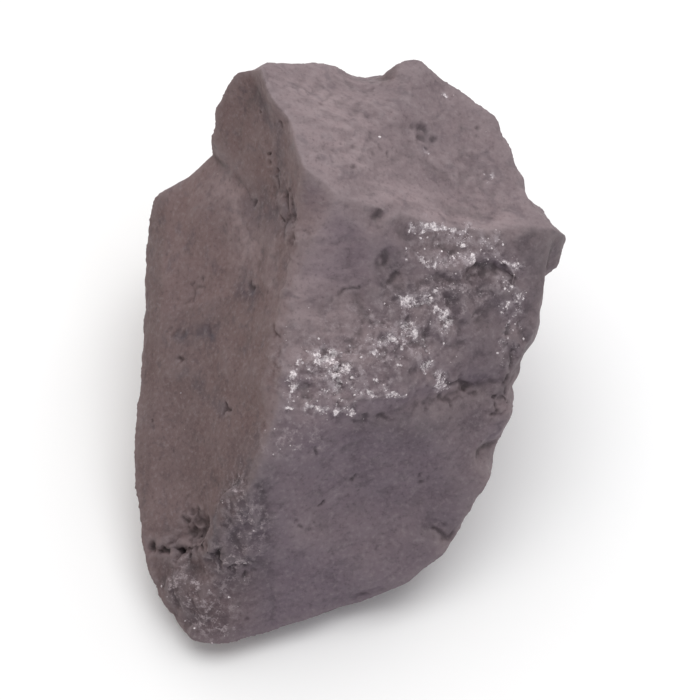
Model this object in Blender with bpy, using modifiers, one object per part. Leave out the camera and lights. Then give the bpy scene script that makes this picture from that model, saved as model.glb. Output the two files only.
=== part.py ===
"""A raw shungite stone: one lump of black carbon rock, broken along flat fracture faces.

The stone rests on its flat underside, with its high crown at the back and a ledge
across the front. Lengths in the tables are millimetres, the model itself is in metres,
and +Z is up. Two blocks of named corners make the lump; flake scars, grooves and pits
are cut out of it, small knobs are added, and the whole skin is then roughened.
"""

import bmesh
import bpy
from mathutils import Matrix, Vector, noise

STONE_NAME = "shungite_stone"
CUTTERS_NAME = "stone_cutters"
MM = 0.001

# --- Corners of the lump: X to the right, Y to the back, Z up from the ground ---

TOP_FACE_BACK = [(-9, 17.3, 39.8), (-5, 20, 38.6), (7.2, 22.9, 34.2), (12.5, 19.6, 31.7),
                 (15.8, 16, 30.1), (17.4, 12.1, 29.1)]
TOP_FACE_FRONT = [(-7.5, 13, 39), (-5.5, 8, 38), (-1.5, 4.5, 36.5), (4, 3.5, 34), (20.7, 6, 27.7)]
CROWN_SIDE = [(-11.2, 19.5, 35.5), (-13.3, 17.5, 33), (-14.3, 17.5, 29.5)]
CROWN_FOOT = [(-14.2, 17, 24.5), (-6.5, 1.5, 31.5)]
TIP = [(21.9, 7, 25), (21.4, 4.5, 22)]
LEFT_SHOULDER = [(-14.6, 17, 23), (-19.5, 16.3, 18), (-20.9, 15.8, 15.5), (-21.5, 6.5, 11.5)]
LEFT_FOOT = [(-22.3, -9.5, 8), (-22.3, -13, 7), (-20.8, -20.6, 5), (-19.7, -23.7, 4), (-17.7, -26.3, 3)]
FRONT_FOOT = [(-16, -27.9, 3), (-12, -27.9, 3), (-7.5, -26.8, 3), (1, -23.3, 3.5), (6, -22.3, 5)]
RIGHT_FOOT = [(9.7, -20.2, 7), (12, -17.6, 9), (14.8, -12.2, 12.7), (17.7, -7, 16.2), (19.2, -1, 19.3)]
LEDGE = [(-9.8, -17.8, 20.3), (-7.3, -13, 24.3), (1.7, -12.2, 23.6), (16, -5.5, 18.8)]
BACK = [(-6, 27, 16), (8, 25, 18), (17, 16, 16)]
BACK_LEFT = [(-16, 22, 9)]
BASE_FRONT = [(-18, 2, 0), (-15, -23, 0), (-4, -24, 0), (6, -17, 0), (11, -6, 0)]
BASE_BACK = [(9, 12, 0), (2, 20, 0), (-12, 18, 0)]

BODY_CORNERS = (
    TOP_FACE_BACK[2:] + TOP_FACE_FRONT[2:] + CROWN_FOOT + LEFT_SHOULDER + LEFT_FOOT
    + FRONT_FOOT + RIGHT_FOOT + LEDGE + BACK + BACK_LEFT + BASE_FRONT + BASE_BACK
)
CROWN_CORNERS = TOP_FACE_BACK + TOP_FACE_FRONT + CROWN_SIDE + CROWN_FOOT + TIP + BACK + BASE_BACK

# --- Flake scars: middle on the old face, the way it faces, width, depth ---

FLAKE_SCARS = {
    "crown_plate_scar": ((-1, 18.5, 36.3), (0.37, 0.25, 0.9), 15, 1.6),
    "crown_edge_bite": ((1.6, 20.6, 35), (0.1, 0.5, 0.86), 8.5, 2.4),
    "top_right_scar": ((10, 11, 31.6), (0.38, 0, 0.92), 16, 0.7),
    "lower_front_scar": ((3.5, -17.5, 13.8), (0.26, -0.8, 0.54), 23, 1.3),
    "front_column_scar": ((-1.5, -2.5, 31.2), (0.12, -0.61, 0.78), 15, 1.1),
    "left_high_scar": ((-13, 4, 22.8), (-0.77, -0.2, 0.61), 20, 0.9),
    "left_low_scar": ((-16, -11, 14.2), (-0.74, -0.26, 0.62), 18, 0.7),
    "crown_wall_scar": ((-10, 12.5, 34), (-0.82, -0.38, 0.43), 9, 0.8),
    "right_shoulder_scar": ((19.6, 9.8, 27.4), (0.8, 0.35, 0.5), 7.5, 1.2),
    "right_edge_scar": ((18.2, -3, 18.5), (0.85, -0.45, -0.1), 10, 0.5),
    "back_high_scar": ((0, 25, 26), (0.05, 0.96, 0.25), 22, 1.8),
    "back_low_scar": ((-3, 24.5, 8), (-0.2, 0.85, -0.5), 18, 1.2),
    "right_back_scar": ((16, 16, 23), (0.85, 0.5, 0.15), 12, 0.9),
    "right_under_scar": ((13, 0, 9), (0.85, -0.1, -0.5), 16, 1.2),
    "left_back_scar": ((-18, 19, 14), (-0.75, 0.62, 0.2), 10, 0.9),
    "under_back_scar": ((-9, 15, 0), (-0.1, 0.15, -1), 15, 1.6),
    "under_right_scar": ((7, -4, 0), (0.2, -0.05, -1), 13, 1.4),
}

# --- Grooves and pits: both ends on the face, width, depth ---

GROOVES = {
    "crown_foot_groove": ((-7.5, 10, 35.9), (-8, 5.5, 31), 2.2, 0.8),
    "shoulder_groove": ((-13.8, 16.5, 24.8), (-7.5, 4, 30.5), 1.6, 0.8),
    "ledge_groove": ((1.8, -12.6, 22.2), (9.5, -9.2, 20.2), 2.6, 0.6),
    "ledge_gap": ((8.5, -9.3, 20.2), (14.6, -6.6, 18.4), 1.8, 0.9),
    "tip_hollow": ((12.6, 1.2, 27.4), (15.4, 1.6, 26), 3.4, 0.9),
    "tip_neck_groove": ((19.3, 5.2, 26.8), (18.6, 0.5, 21.8), 1.6, 0.7),
    "column_groove": ((3.7, 1.2, 32), (3.7, -2.6, 29.6), 1.6, 0.7),
    "right_rim_crack": ((16.4, -2.2, 22), (16.5, -5.6, 18.4), 1.0, 0.8),
    "left_low_crack": ((-19.2, -19.3, 7.4), (-15.2, -19.8, 11.4), 0.9, 0.9),
    "foot_crack": ((-15, -20.1, 11), (-10.5, -23.8, 8.7), 0.9, 0.9),
    "foot_gap": ((-3, -25.4, 4.2), (3, -23.2, 4.6), 2.0, 1.2),
    "back_groove": ((-11, 22, 25), (3, 26.6, 20.5), 3.2, 0.6),
}

PITS = {
    "low_left_pit": ((-15.3, -19.2, 11.7), 1.3),
    "low_left_pit_side": ((-16.7, -19.2, 10.3), 0.9),
    "crown_pit_high": ((-7.6, 9.6, 36.3), 0.8),
    "crown_pit_low": ((-9.6, 7.9, 29.4), 1.0),
    "top_spot": ((7.6, 14.4, 32.8), 0.7),
    "top_spot_left": ((3.1, 10.9, 34.7), 0.6),
    "ridge_chip": ((2.8, 3.2, 34.5), 1.0),
    "ridge_chip_left": ((-0.5, 4, 36.3), 0.7),
    "low_front_spot": ((10, -18.2, 9), 1.1),
    "left_pit": ((-9.2, -0.8, 27.2), 0.8),
    "left_pit_low": ((-14, -5.9, 19), 0.7),
    "back_pit": ((-2, 27, 14), 1.2),
    "right_edge_pit": ((15.4, -11, 13.2), 1.0),
    "right_edge_pit_low": ((13.2, -15.6, 10.1), 0.9),
    "shoulder_edge_pit": ((19.3, 9.9, 28.2), 1.2),
}

# --- Knobs: middle, the way each one stands out, half sizes across, along and out ---

KNOBS = {
    "foot_knob": ((-11.2, -19.8, 15), (-0.3, -0.8, 0.5), 2.6, 3.0, 0.7),
    "foot_knob_low": ((-12.6, -22, 11.8), (-0.3, -0.8, 0.5), 2.8, 2.2, 0.6),
    "foot_knob_left": ((-16.6, -24.6, 6.4), (-0.5, -0.7, 0.5), 3.0, 2.6, 0.6),
    "crust_knob_left": ((-4, -10, 25.7), (0.1, -0.61, 0.78), 3.4, 2.6, 0.5),
    "crust_knob_low": ((8.5, -6.6, 23.2), (0.35, -0.6, 0.7), 3.6, 2.2, 0.6),
    "crust_knob_mid": ((9.5, -1.4, 27.2), (0.37, -0.57, 0.73), 3.2, 2.4, 0.5),
    "tip_brow": ((13.6, 3.8, 29), (0.35, -0.4, 0.85), 4.4, 1.8, 0.6),
    "rim_knob": ((16.4, 0.4, 25), (0.6, -0.55, 0.6), 1.6, 2.8, 0.7),
}

# --- Roughness of the skin ---

SWELL_WIDTH, SWELL_HEIGHT = 7.0, 0.45
GRAIN_WIDTH, GRAIN_HEIGHT = 2.2, 0.16
CRUMBLE_WIDTH, CRUMBLE_HEIGHT = 1.7, 0.45
CRUMBLE_OCTAVES, CRUMBLE_MIDDLE = 2, 0.35
CRUMBLE_EDGE = 0.5
CRUMBLY_PATCHES = {
    "crust": ((8, 0, 27.5), 11),
    "crust_left": ((-3, -10.5, 27), 6),
    "low_left_foot": ((-15, -21.5, 9), 8),
    "crown_foot": ((-8, 8, 32.5), 5),
    "right_edge": ((17, -6, 15), 6),
}

VOXEL = 0.38
SMOOTHING_ROUNDS = 2
SMOOTHING_FACTOR = 0.5
TRIANGLE_BUDGET = 9600
GROUND_CUT_HEIGHT = 0.4
BALL_SUBDIVISIONS = 4
GROUND_BLOCK_SIZE = 120

STONE_COLOUR = (0.15, 0.115, 0.125, 1.0)
STONE_ROUGHNESS = 0.82


def clear_scene():
    """Start from an empty scene."""
    for old in list(bpy.data.objects):
        bpy.data.objects.remove(old, do_unlink=True)


def new_collection(name):
    """A collection linked to the scene."""
    collection = bpy.data.collections.new(name)
    bpy.context.scene.collection.children.link(collection)
    return collection


def add_object(name, shape, collection):
    """Turn a bmesh into a named object in a collection."""
    mesh = bpy.data.meshes.new(name)
    shape.to_mesh(mesh)
    shape.free()
    made = bpy.data.objects.new(name, mesh)
    collection.objects.link(made)
    return made


def hide_as_cutter(made):
    """Show a shaping body as wire only and keep it out of renders."""
    made.hide_render = True
    made.display_type = "WIRE"
    return made


def broken_block(name, corners, collection):
    """The solid that spans a set of corners, with flat faces between them."""
    shape = bmesh.new()
    for corner in corners:
        shape.verts.new(Vector(corner) * MM)
    hull = bmesh.ops.convex_hull(shape, input=shape.verts)
    spare = {item for item in hull["geom_interior"] + hull["geom_unused"]
             if isinstance(item, bmesh.types.BMVert)}
    bmesh.ops.delete(shape, geom=list(spare), context="VERTS")
    bmesh.ops.recalc_face_normals(shape, faces=shape.faces)
    return add_object(name, shape, collection)


def turned_to(direction, middle, half_sizes):
    """Matrix that stretches a unit ball, turns its Z to a direction and moves it, in mm."""
    turn = Vector(direction).to_track_quat("Z", "Y").to_matrix().to_4x4()
    stretch = Matrix.Diagonal((*half_sizes, 1.0))
    return Matrix.Scale(MM, 4) @ Matrix.Translation(middle) @ turn @ stretch


def ball(name, placement, collection):
    """A ball or ellipsoid to cut or add with."""
    shape = bmesh.new()
    bmesh.ops.create_icosphere(shape, subdivisions=BALL_SUBDIVISIONS, radius=1.0, matrix=placement)
    return hide_as_cutter(add_object(name, shape, collection))


def flake_scar(name, middle, facing, width, depth, collection):
    """A big ball that takes a shallow round flake off a face."""
    out = Vector(facing).normalized()
    radius = (width * width / 4 + depth * depth) / (2 * depth)
    centre = Vector(middle) + out * (radius - depth)
    return ball(name, turned_to(out, centre, (radius,) * 3), collection)


def groove(name, start, end, width, depth, collection):
    """A long thin ellipsoid whose middle line runs from one point of a face to another."""
    start, end = Vector(start), Vector(end)
    half_length = (end - start).length / 2 + width / 2
    half_sizes = (width / 2, depth, half_length)
    return ball(name, turned_to(end - start, (start + end) / 2, half_sizes), collection)


def boolean(target, tool, operation):
    """Join a tool to the target or cut it away."""
    modifier = target.modifiers.new(tool.name, "BOOLEAN")
    modifier.operation = operation
    modifier.object = tool
    modifier.solver = "EXACT"


def shape_with_tools(stone, collection):
    """Add the crown and knobs, then take off scars, grooves and pits."""
    crown = hide_as_cutter(broken_block("crown_block", CROWN_CORNERS, collection))
    boolean(stone, crown, "UNION")
    for name, (middle, facing, width, depth) in FLAKE_SCARS.items():
        boolean(stone, flake_scar(name, middle, facing, width, depth, collection), "DIFFERENCE")
    for name, (middle, facing, across, along, out) in KNOBS.items():
        knob = ball(name, turned_to(facing, middle, (across, along, out)), collection)
        boolean(stone, knob, "UNION")
    for name, (start, end, width, depth) in GROOVES.items():
        boolean(stone, groove(name, start, end, width, depth, collection), "DIFFERENCE")
    for name, (middle, radius) in PITS.items():
        pit = ball(name, turned_to((0, 0, 1), middle, (radius,) * 3), collection)
        boolean(stone, pit, "DIFFERENCE")


def even_out(stone):
    """Rebuild the skin as small even faces and soften the knife edges."""
    remesh = stone.modifiers.new("even_skin", "REMESH")
    remesh.mode = "VOXEL"
    remesh.voxel_size = VOXEL * MM
    smooth = stone.modifiers.new("worn_edges", "SMOOTH")
    smooth.factor = SMOOTHING_FACTOR
    smooth.iterations = SMOOTHING_ROUNDS


def keep_result(stone):
    """Replace the object's mesh by what its modifiers make of it."""
    graph = bpy.context.evaluated_depsgraph_get()
    graph.update()
    result = bpy.data.meshes.new_from_object(stone.evaluated_get(graph))
    stone.modifiers.clear()
    stone.data = result


def crumbliness(point):
    """How crumbly the skin is at a point: 1 in a patch's core, 0 outside its reach."""
    strongest = 0.0
    for middle, reach in CRUMBLY_PATCHES.values():
        nearness = 1.0 - (point - Vector(middle)).length / reach
        strongest = max(strongest, nearness / CRUMBLE_EDGE)
    return min(1.0, strongest)


def relief(point):
    """How far the skin stands out at a point, in millimetres."""
    swell = SWELL_HEIGHT * noise.noise(point / SWELL_WIDTH)
    grain = GRAIN_HEIGHT * noise.noise(point / GRAIN_WIDTH)
    broken = noise.turbulence(point / CRUMBLE_WIDTH, CRUMBLE_OCTAVES, False) - CRUMBLE_MIDDLE
    return swell + grain + CRUMBLE_HEIGHT * crumbliness(point) * broken


def roughen(stone):
    """Push the skin in and out along its normals."""
    shape = bmesh.new()
    shape.from_mesh(stone.data)
    shape.normal_update()
    moves = [vert.normal * relief(vert.co / MM) * MM for vert in shape.verts]
    for vert, move in zip(shape.verts, moves):
        vert.co += move
    shape.to_mesh(stone.data)
    shape.free()


def thin_out(stone):
    """Keep the triangle count inside the budget."""
    decimate = stone.modifiers.new("fewer_faces", "DECIMATE")
    triangles = sum(len(face.vertices) - 2 for face in stone.data.polygons)
    decimate.ratio = TRIANGLE_BUDGET / triangles
    decimate.use_collapse_triangulate = True


def flatten_underside(stone, collection):
    """Cut the underside flat, so that the stone rests on one level face."""
    shape = bmesh.new()
    half = GROUND_BLOCK_SIZE / 2
    middle = Matrix.Translation((0, 0, (GROUND_CUT_HEIGHT - half) * MM))
    bmesh.ops.create_cube(shape, size=GROUND_BLOCK_SIZE * MM, matrix=middle)
    ground = hide_as_cutter(add_object("ground_block", shape, collection))
    boolean(stone, ground, "DIFFERENCE")


def stand_on_origin(stone):
    """Move the finished stone so the origin is under the middle of its box."""
    keep_result(stone)
    corners = [vert.co for vert in stone.data.vertices]
    low = Vector(min(corner[axis] for corner in corners) for axis in range(3))
    high = Vector(max(corner[axis] for corner in corners) for axis in range(3))
    middle = (low + high) / 2
    stone.data.transform(Matrix.Translation((-middle.x, -middle.y, -low.z)))
    print("stone size, mm:", [round((high[axis] - low[axis]) / MM, 1) for axis in range(3)])
    print("moved by, mm:", round(-middle.x / MM, 2), round(-middle.y / MM, 2), round(-low.z / MM, 2))


def shungite_material():
    """Matt dark grey rock with a slightly warm tint."""
    material = bpy.data.materials.new("shungite")
    material.use_nodes = True
    shader = material.node_tree.nodes["Principled BSDF"]
    shader.inputs["Base Color"].default_value = STONE_COLOUR
    shader.inputs["Roughness"].default_value = STONE_ROUGHNESS
    shader.inputs["Metallic"].default_value = 0.0
    return material


def build():
    """Model the stone from its blocks to its finished skin."""
    clear_scene()
    parts = new_collection(STONE_NAME)
    tools = new_collection(CUTTERS_NAME)
    stone = broken_block(STONE_NAME, BODY_CORNERS, parts)
    shape_with_tools(stone, tools)
    even_out(stone)
    keep_result(stone)
    roughen(stone)
    thin_out(stone)
    flatten_underside(stone, tools)
    stand_on_origin(stone)
    stone.data.materials.clear()
    stone.data.materials.append(shungite_material())
    print("triangles:", sum(len(face.vertices) - 2 for face in stone.data.polygons))


build()
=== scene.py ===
# %% [markdown]
# # A raw shungite stone
#
# Shungite is a black rock that is mostly carbon. A raw piece is broken out of the bedrock,
# so nothing about its shape is worked: flat fracture faces meet in crisp ridges, with
# shallow flake scars, pits and cracks, and here and there a pale mineral crust.
# The lesson starts from a plain solid of the stone. It gives the solid a fine skin, grows
# the crust on it, makes the finishes, and ends with a small studio to look at it in.

import math

import bmesh
import bpy
import numpy as np
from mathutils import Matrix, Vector, noise
from mathutils.bvhtree import BVHTree

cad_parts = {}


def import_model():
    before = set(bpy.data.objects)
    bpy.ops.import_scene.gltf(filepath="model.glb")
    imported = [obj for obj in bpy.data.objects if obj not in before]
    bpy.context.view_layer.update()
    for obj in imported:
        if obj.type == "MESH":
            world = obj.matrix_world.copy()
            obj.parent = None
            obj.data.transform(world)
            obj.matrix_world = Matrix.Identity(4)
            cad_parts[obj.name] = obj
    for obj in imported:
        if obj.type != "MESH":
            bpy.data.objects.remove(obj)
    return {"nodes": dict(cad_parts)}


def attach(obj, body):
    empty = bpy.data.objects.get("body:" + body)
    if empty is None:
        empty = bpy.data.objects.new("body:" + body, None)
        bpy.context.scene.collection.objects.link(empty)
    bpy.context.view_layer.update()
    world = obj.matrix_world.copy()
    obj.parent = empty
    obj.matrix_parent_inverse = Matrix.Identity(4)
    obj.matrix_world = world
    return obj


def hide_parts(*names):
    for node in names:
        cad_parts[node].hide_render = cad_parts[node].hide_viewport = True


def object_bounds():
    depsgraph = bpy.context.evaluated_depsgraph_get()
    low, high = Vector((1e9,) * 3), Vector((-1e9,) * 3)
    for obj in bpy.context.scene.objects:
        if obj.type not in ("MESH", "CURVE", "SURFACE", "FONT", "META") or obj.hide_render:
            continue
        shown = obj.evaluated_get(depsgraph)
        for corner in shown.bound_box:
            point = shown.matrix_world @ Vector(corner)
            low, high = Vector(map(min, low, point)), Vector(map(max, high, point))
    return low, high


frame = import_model()
solid_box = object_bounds()

MM = 0.001
stone_solid = frame["nodes"]["shungite_stone"]
solid_size = [high - low for low, high in zip(*solid_box)]
print("stone, mm:", [round(side / MM, 1) for side in solid_size])

# %% [markdown]
# ## A fine even skin
#
# The solid is made of about nine thousand triangles, each roughly a millimetre wide, and
# close up they look cut like a gem. A voxel remesh lays an even net of small faces over
# the same form. It is the right tool here because a broken stone has no edge flow to keep.

# %% Lay a fine net over the solid
SKIN_STEP = 0.21
WELD_GAP = 0.001


def put_in_scene(name, data):
    """A new object in the scene, with this data."""
    made = bpy.data.objects.new(name, data)
    bpy.context.scene.collection.objects.link(made)
    return made


def object_from(shape, name):
    """A new mesh object made from a bmesh, which is freed."""
    mesh = bpy.data.meshes.new(name)
    shape.to_mesh(mesh)
    shape.free()
    return put_in_scene(name, mesh)


def welded_copy(source, name):
    """A copy of a solid whose loose triangles are merged into one closed mesh."""
    shape = bmesh.new()
    shape.from_mesh(source.data)
    shape.transform(source.matrix_world)
    bmesh.ops.remove_doubles(shape, verts=shape.verts, dist=WELD_GAP * MM)
    return object_from(shape, name)


def keep_result(made):
    """Turn what the modifiers show into the object's own mesh, and drop the modifiers."""
    graph = bpy.context.evaluated_depsgraph_get()
    graph.update()
    result = bpy.data.meshes.new_from_object(made.evaluated_get(graph))
    made.modifiers.clear()
    made.data = result
    return result


def cut_to_triangles(mesh):
    """Split every face of a mesh into triangles."""
    shape = bmesh.new()
    shape.from_mesh(mesh)
    bmesh.ops.triangulate(shape, faces=shape.faces)
    shape.to_mesh(mesh)
    shape.free()


stone = welded_copy(stone_solid, "stone_skin")
net = stone.modifiers.new("fine_net", "REMESH")
net.mode = "VOXEL"
net.voxel_size = SKIN_STEP * MM
keep_result(stone)
cut_to_triangles(stone.data)
print("skin:", len(stone.data.vertices), "points,", len(stone.data.polygons), "triangles")

# %% [markdown]
# ## Places on the stone
#
# The marks of a stone are easiest to place by looking at it, as a carver would with a
# pencil. A place is written as millimetres to the right and up in the front view, which
# looks down on the stone from sixty degrees, and a ray from the eye finds it on the skin.
# A mark so placed sits on the stone from every side.

# %% Find places by sight
SIGHT_POINT = Vector((0.4, 8.5, -0.4))
EYE_HEIGHT = math.radians(60.0)
EYE_DISTANCE = 416.7
EYE_BACK = Vector((0.0, -math.cos(EYE_HEIGHT), math.sin(EYE_HEIGHT)))
EYE_UP = Vector((0.0, math.sin(EYE_HEIGHT), math.cos(EYE_HEIGHT)))
SETTLED_DIGITS = 6


def read_points(mesh):
    """The mesh's points as rows of x, y, z in millimetres."""
    flat = np.empty(len(mesh.vertices) * 3)
    mesh.vertices.foreach_get("co", flat)
    return flat.reshape(-1, 3) / MM


def settle(values):
    """The values without their last digits, which rounding errors can change."""
    return np.round(values, SETTLED_DIGITS)


def write_points(mesh, points):
    """Move the mesh's points to rows of x, y, z in millimetres."""
    mesh.vertices.foreach_set("co", (settle(points) * MM).ravel())
    mesh.update()


def bring_to_ground(mesh):
    """Bring the points that lie below the ground back up to it."""
    points = read_points(mesh)
    points[:, 2] = np.maximum(points[:, 2], 0.0)
    write_points(mesh, points)
    return points


def read_triangles(mesh):
    """The mesh's triangles as rows of three point numbers."""
    flat = np.empty(len(mesh.polygons) * 3, dtype=np.int64)
    mesh.polygons.foreach_get("vertices", flat)
    return flat.reshape(-1, 3)


points = read_points(stone.data)
triangles = read_triangles(stone.data)
skin_points = points
skin_finder = BVHTree.FromPolygons(points.tolist(), triangles.tolist())


def seen(right, up):
    """The place on the skin that shows this far right and up, or the nearest to it."""
    eye = SIGHT_POINT + EYE_BACK * EYE_DISTANCE
    target = SIGHT_POINT + Vector((right, 0.0, 0.0)) + EYE_UP * up
    aim = (target - eye).normalized()
    place = skin_finder.ray_cast(eye, aim)[0]
    if place:
        return np.array(place)
    gaps = skin_points - np.array(eye)
    sideways = gaps - (gaps @ np.array(aim))[:, None] * np.array(aim)
    return skin_points[np.linalg.norm(sideways, axis=1).argmin()]


def closeness(points, path, reach, wander=0.0):
    """1 on a path, falling evenly to 0 at its reach. A place is as seen, or full x, y and z."""
    places = [seen(*place) if len(place) == 2 else np.array(place) for place in path]
    nearest = np.linalg.norm(points - places[0], axis=1)
    for start, end in zip(places[:-1], places[1:]):
        run = end - start
        share = np.clip((points - start) @ run / (run @ run), 0.0, 1.0)
        nearest = np.minimum(nearest, np.linalg.norm(points - start - share[:, None] * run, axis=1))
    return np.clip(1.0 - nearest / reach + wander, 0.0, 1.0)


print("the sight line meets the stone at", seen(0.0, 0.0).round(1))

# %% [markdown]
# ## Soften and push
#
# The solid is right to about a millimetre, and two small corrections bring it closer.
# Where it is cut deeper than the real stone, a softened copy of the points takes over.
# Where a corner or an edge lies elsewhere, the points round it are pushed.

# %% Correct the form
MENDED = {
    "upper_hollow": ([(15.3, 8.4)], 5.0),
    "small_hollow": ([(4.2, 8.4)], 4.0),
    "ledge_groove": ([(3.0, -5.6), (14.0, -4.6)], 3.5),
    "left_notch": ([(-14.5, 18.0), (-8.0, 13.0)], 3.0),
    "wall_corner": ([(-13.0, 19.2), (-9.5, 16.6)], 3.4),
    "foot_groove": ([(9.0, -18.0), (12.0, -19.0)], 3.0),
    "crown_hollow": ([(1.0, 28.8), (3.4, 28.4)], 2.6),
    "back_groove": ([(-11.0, 22.0, 25.0), (3.0, 26.6, 20.5)], 5.0),
}
MENDING_ROUNDS = 90
MENDING_STRENGTH = 1.6


def edge_ends(triangles):
    """The two point numbers of each edge of the triangles, each edge once."""
    pairs = np.sort(triangles[:, [0, 1, 1, 2, 2, 0]].reshape(-1, 2), axis=1)
    names = np.unique(pairs[:, 0] * (triangles.max() + 1) + pairs[:, 1])
    return np.stack([names // (triangles.max() + 1), names % (triangles.max() + 1)], axis=1)


def eased(share):
    """A share from 0 to 1 with a soft start and a soft end."""
    return share * share * (3.0 - 2.0 * share)


def soften(values, ends, rounds):
    """Replace each point's values by the mean of its neighbours', again and again."""
    uses = np.bincount(ends.ravel(), minlength=len(values))
    for _ in range(rounds):
        total = np.empty_like(values)
        for axis in range(values.shape[1]):
            column = values[:, axis]
            total[:, axis] = np.bincount(ends[:, 0], column[ends[:, 1]], len(values))
            total[:, axis] += np.bincount(ends[:, 1], column[ends[:, 0]], len(values))
        values = total / uses[:, None]
    return values


ends = edge_ends(triangles)
softened = soften(points, ends, MENDING_ROUNDS)
mending = np.zeros(len(points))
for path, reach in MENDED.values():
    mending = np.maximum(mending, closeness(points, path, reach))
mending = np.clip(MENDING_STRENGTH * mending, 0.0, 1.0)[:, None]
points = points + mending * (softened - points)
print("points mended:", int((mending > 0).sum()))

PUSHED = {
    "crown_peak": ([(7.0, 31.0)], 4.5, (-0.6, 0.1, 0.9)),
    "ridge_top": ([(-7.4, 30.5), (-7.0, 27.5)], 3.6, (-1.2, 0.0, 0.0)),
    "crown_valley": ([(1.2, 32.0), (3.2, 32.0)], 2.8, (0.0, -0.4, -0.6)),
    "wall_top": ([(-12.3, 29.6), (-14.6, 26.2)], 2.8, (-0.8, 0.4, 0.25)),
    "left_shoulder": ([(-21.6, 16.6)], 2.8, (-0.9, 0.1, 0.1)),
    "right_shoulder": ([(15.4, 24.0), (16.4, 21.6)], 3.4, (0.8, 0.2, 0.4)),
    "right_neck": ([(19.6, 16.6)], 2.0, (-0.6, 0.0, -0.2)),
    "tip": ([(22.6, 11.5)], 3.0, (0.4, 0.0, 0.0)),
    "round_hollow": ([(15.2, 7.8)], 3.2, (0.3, -0.6, 0.8)),
    "right_bulge": ([(16.6, -6.8)], 3.0, (0.9, 0.0, 0.4)),
    "right_notch": ([(15.6, -11.2)], 2.8, (-1.6, 0.5, 0.0)),
}
for path, reach, push in PUSHED.values():
    points = points + eased(closeness(points, path, reach))[:, None] * np.array(push)
print("pushed:", ", ".join(PUSHED))

# %% [markdown]
# ## Where the stone differs from place to place
#
# A real stone isn't the same all over. One part is smooth, another crumbles, a third is
# crusted. Each zone is a few paths with a reach and, where it isn't one, a strength. The
# result is stored on the points under a name, so that both the skin and the finish can
# read it later. A little noise on the reach keeps the borders ragged. Vector noise takes
# its seed from the clock, so it is given a fixed one, and every run looks the same.

# %% Name the zones
CRUST = {
    "top_edge": ([(6.5, 13.3), (9.0, 13.3), (12.3, 13.0)], 0.7, 1.1),
    "ring": ([(9.4, 11.6), (11.0, 12.5), (12.4, 11.8), (12.2, 10.2), (10.2, 9.8)], 0.7, 0.8),
    "east_specks": ([(13.6, 12.0), (16.0, 12.0)], 0.8, 0.7),
    "arch": ([(12.8, 9.0), (13.8, 10.2), (15.2, 10.4), (16.4, 9.8), (17.8, 8.9)], 0.8, 1.05),
    "west_specks": ([(7.6, 9.4), (9.2, 9.0)], 0.7),
    "upper_specks": ([(5.7, 5.2), (7.2, 4.8), (8.3, 5.3)], 0.9),
    "pair": ([(9.5, 4.2), (10.6, 3.2)], 1.0, 1.2),
    "middle_specks": ([(5.8, 2.8), (7.0, 1.9), (6.2, 0.9)], 1.0),
    "lower_specks": ([(2.8, 0.1), (4.2, 1.8), (5.2, 0.6)], 1.0),
    "right_string": ([(17.5, 6.6), (18.2, 4.0), (16.6, 2.0), (17.6, 0.0)], 0.75, 0.7),
    "low_string": ([(8.0, -1.6), (9.3, -2.4), (9.6, -3.4), (10.6, -3.9)], 1.0, 1.1),
    "arc": ([(-6.2, -5.0), (-6.3, -3.2), (-5.6, -1.6), (-4.2, -0.2)], 0.75, 1.1),
    "patch": ([(-3.4, -1.0), (-1.6, -0.9), (-1.0, -1.8)], 1.5, 1.3),
    "patch_low": ([(-1.2, -2.7), (-1.8, -4.4)], 1.1),
    "ledge_line": ([(-7.0, -6.2), (-3.6, -6.1), (0.6, -6.7)], 0.75, 1.1),
    "ledge_tail": ([(0.6, -5.8), (1.5, -4.5), (4.0, -5.2), (6.5, -4.8)], 0.6),
    "top_fleck": ([(10.4, 27.0)], 0.7),
    "low_fleck": ([(15.0, 18.6)], 0.6),
    "middle_fleck": ([(8.2, 21.2)], 0.5),
}
CRUST_FIELD = {
    "low": ([(-4.5, -3.5), (0.0, -3.5), (3.0, -2.0)], 3.4),
    "middle": ([(4.0, 1.5), (9.0, 3.5)], 4.2),
    "high": ([(8.0, 10.8), (14.0, 11.0), (17.5, 7.0), (17.5, 0.0)], 2.6),
}
FIELD_SHARE = 0.38
FIELD_FILL = 2.0
FIELD_CLUMP_WIDTH = 1.1
FIELD_CLUMP_CONTRAST = 1.6
DUST = {
    "crust_field": ([(-3.0, -2.5), (6.0, 1.5), (12.0, 8.0)], 6.5),
    "foot_corner": ([(-18.5, -25.0), (-15.5, -27.0), (-15.0, -29.0)], 3.8, 1.4),
    "foot_lumps": ([(-12.5, -15.0), (-10.5, -19.0), (-13.0, -23.0)], 3.2, 1.2),
    "ledge_patch": ([(-7.5, -9.5), (-4.5, -9.5)], 3.0),
}
CRUMBLE = {
    "crust_field": ([(-3.0, -2.5), (6.0, 1.0), (11.5, 6.0)], 6.0),
    "right_rim": ([(18.0, 3.0), (16.0, -8.0)], 3.0),
    "foot_lumps": ([(-11.5, -17.0), (-12.5, -21.0)], 5.0),
    "foot_corner": ([(-17.0, -27.5)], 5.0),
    "foot_pit": ([(-17.4, -18.2), (-15.6, -21.0)], 3.0, 1.3),
    "crown_foot": ([(-7.5, 17.0), (-6.0, 12.5)], 3.0),
}
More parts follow.
